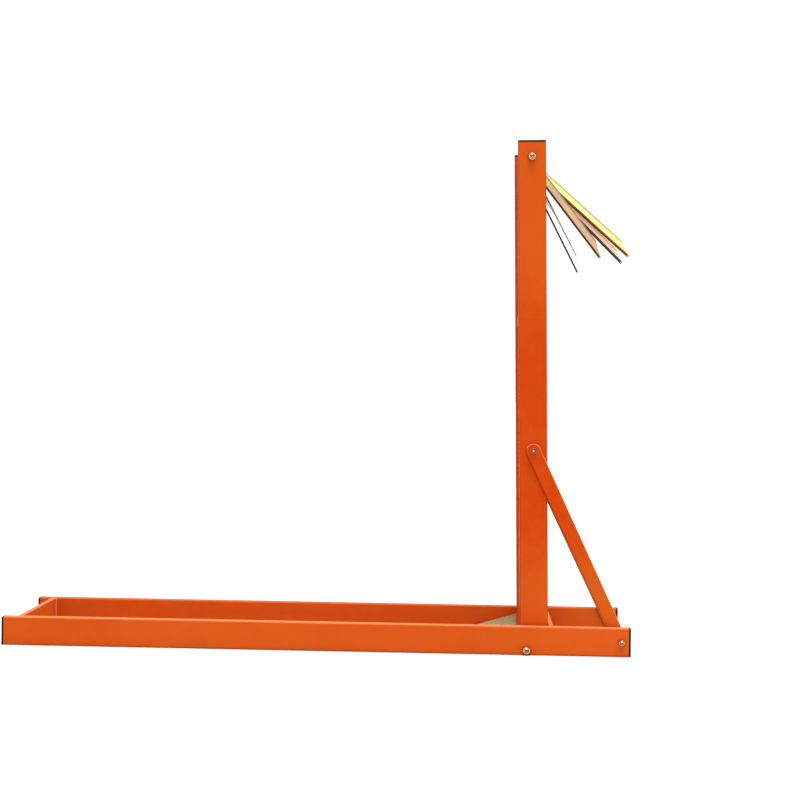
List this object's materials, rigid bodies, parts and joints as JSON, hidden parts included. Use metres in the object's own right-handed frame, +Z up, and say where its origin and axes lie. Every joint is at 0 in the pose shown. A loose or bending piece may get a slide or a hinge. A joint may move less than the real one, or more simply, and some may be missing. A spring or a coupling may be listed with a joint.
{
  "type": "log holding sawhorse",
  "caption": "Steel stand that grips one end of a log: a long low base, braced twin posts with a log seat, and hinged pointed claws on an axle.",
  "frame": {"origin": "centre of the footprint at floor level", "axes": "+X along the base from its long end towards the posts' end, +Y from the front rail to the rear rail, +Z up"},
  "size_m": [1.13, 0.319, 0.9208],
  "materials": {
    "orange_powder_coat": "semi-gloss orange powder coat on steel tube and flat bar",
    "yellow_zinc": "steel with iridescent yellow chromate zinc plating",
    "bright_zinc": "steel with bright zinc plating",
    "black_plastic": "moulded black plastic, lightly textured"
  },
  "bodies": {
    "stand": {"front_rail": "orange_powder_coat", "rear_rail": "orange_powder_coat", "rail_cap_front_left": "black_plastic", "rail_cap_front_right": "black_plastic", "rail_cap_rear_left": "black_plastic", "rail_cap_rear_right": "black_plastic", "end_cross_bar": "orange_powder_coat", "post_stop_bar": "orange_powder_coat", "front_post": "orange_powder_coat", "rear_post": "orange_powder_coat", "front_post_cap": "black_plastic", "rear_post_cap": "black_plastic", "log_seat": "orange_powder_coat", "front_brace": "orange_powder_coat", "rear_brace": "orange_powder_coat", "front_gusset": "yellow_zinc", "rear_gusset": "yellow_zinc", "front_gusset_screw": "yellow_zinc", "rear_gusset_screw": "yellow_zinc", "front_foot_bolt": "yellow_zinc", "rear_foot_bolt": "yellow_zinc", "front_foot_washer": "yellow_zinc", "rear_foot_washer": "yellow_zinc", "front_foot_nut": "yellow_zinc", "rear_foot_nut": "yellow_zinc", "front_brace_bolt": "yellow_zinc", "rear_brace_bolt": "yellow_zinc", "front_brace_washer": "yellow_zinc", "rear_brace_washer": "yellow_zinc", "front_brace_nut": "yellow_zinc", "rear_brace_nut": "yellow_zinc", "front_brace_foot_bolt": "yellow_zinc", "rear_brace_foot_bolt": "yellow_zinc", "front_brace_foot_nut": "yellow_zinc", "rear_brace_foot_nut": "yellow_zinc", "axle_bolt": "yellow_zinc", "axle_nut": "yellow_zinc", "front_axle_sleeve": "bright_zinc", "rear_axle_sleeve": "bright_zinc", "axle_ring_1": "bright_zinc", "axle_ring_2": "bright_zinc", "axle_ring_3": "bright_zinc"},
    "claw_front_short": {"claw_front_short": "yellow_zinc"},
    "claw_front_long": {"claw_front_long": "yellow_zinc"},
    "claw_rear_long": {"claw_rear_long": "yellow_zinc"},
    "claw_rear_short": {"claw_rear_short": "yellow_zinc"}
  },
  "joints": [
    {"name": "claw_front_short_swing", "type": "hinge", "parent": "stand", "child": "claw_front_short", "pos_m": [0.3774, -0.048, 0.89034], "axis": [0, 1, 0], "range_deg": [-112.1, 67.9]},
    {"name": "claw_front_long_swing", "type": "hinge", "parent": "stand", "child": "claw_front_long", "pos_m": [0.3774, -0.016, 0.89034], "axis": [0, 1, 0], "range_deg": [-101.5, 78.5]},
    {"name": "claw_rear_long_swing", "type": "hinge", "parent": "stand", "child": "claw_rear_long", "pos_m": [0.3774, 0.016, 0.89034], "axis": [0, 1, 0], "range_deg": [-104.7, 75.3]},
    {"name": "claw_rear_short_swing", "type": "hinge", "parent": "stand", "child": "claw_rear_short", "pos_m": [0.3774, 0.048, 0.89034], "axis": [0, 1, 0], "range_deg": [-122.8, 57.2]}
  ]
}
